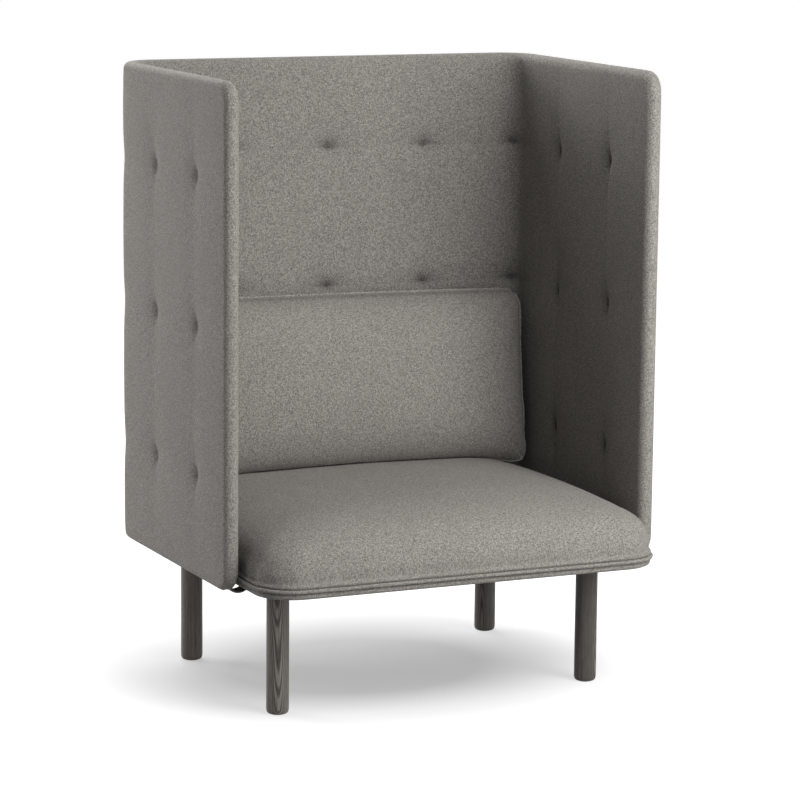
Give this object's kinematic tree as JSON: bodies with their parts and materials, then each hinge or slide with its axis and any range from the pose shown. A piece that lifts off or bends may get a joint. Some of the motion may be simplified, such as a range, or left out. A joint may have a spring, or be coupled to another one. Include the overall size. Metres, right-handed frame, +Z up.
{
  "type": "lounge armchair",
  "caption": "High-back lounge armchair with a tufted wraparound privacy screen, crowned seat, loose lumbar cushion and round dark wooden legs.",
  "frame": {"origin": "on the floor, below the centre of the bounding box", "axes": "+Z up; +Y from the open front to the back of the screen; +X to the right seen from the front"},
  "size_m": [1, 0.806, 1.32],
  "materials": {
    "screen_fabric": "matte",
    "seat_fabric": "matte",
    "lumbar_fabric": "matte",
    "dust_cloth": "matte",
    "plywood": "satin",
    "stained_ash": "satin",
    "black_steel": "satin",
    "zinc_steel": "satin",
    "glide_plastic": "matte"
  },
  "bodies": {
    "chair": {"core_bolt_back_left": "zinc_steel", "core_bolt_back_right": "zinc_steel", "core_bolt_left_front": "zinc_steel", "core_bolt_left_rear": "zinc_steel", "core_bolt_right_front": "zinc_steel", "core_bolt_right_rear": "zinc_steel", "deck_bolt_back_left": "zinc_steel", "deck_bolt_back_right": "zinc_steel", "deck_bolt_left_front": "zinc_steel", "deck_bolt_left_rear": "zinc_steel", "deck_bolt_right_front": "zinc_steel", "deck_bolt_right_rear": "zinc_steel", "dust_cover": "dust_cloth", "glide_front_left": "glide_plastic", "glide_front_right": "glide_plastic", "glide_rear_left": "glide_plastic", "glide_rear_right": "glide_plastic", "hanger_bolt_front_left": "zinc_steel", "hanger_bolt_front_right": "zinc_steel", "hanger_bolt_rear_left": "zinc_steel", "hanger_bolt_rear_right": "zinc_steel", "leg_front_left": "stained_ash", "leg_front_right": "stained_ash", "leg_plate_front_left": "black_steel", "leg_plate_front_right": "black_steel", "leg_plate_rear_left": "black_steel", "leg_plate_rear_right": "black_steel", "leg_rear_left": "stained_ash", "leg_rear_right": "stained_ash", "screen_core": "plywood", "screen_pad_back": "screen_fabric", "screen_pad_left": "screen_fabric", "screen_pad_right": "screen_fabric", "seat_band": "seat_fabric", "seat_cushion": "seat_fabric", "seat_deck": "plywood", "seat_welt": "seat_fabric", "strap_back_left": "black_steel", "strap_back_right": "black_steel", "strap_left_front": "black_steel", "strap_left_rear": "black_steel", "strap_right_front": "black_steel", "strap_right_rear": "black_steel"},
    "lumbar": {"lumbar_cushion": "lumbar_fabric"}
  },
  "joints": [
    {"name": "lumbar_lift", "type": "slide", "parent": "chair", "child": "lumbar", "axis": [0, 0, 1], "range_m": [0, 0.95]}
  ]
}
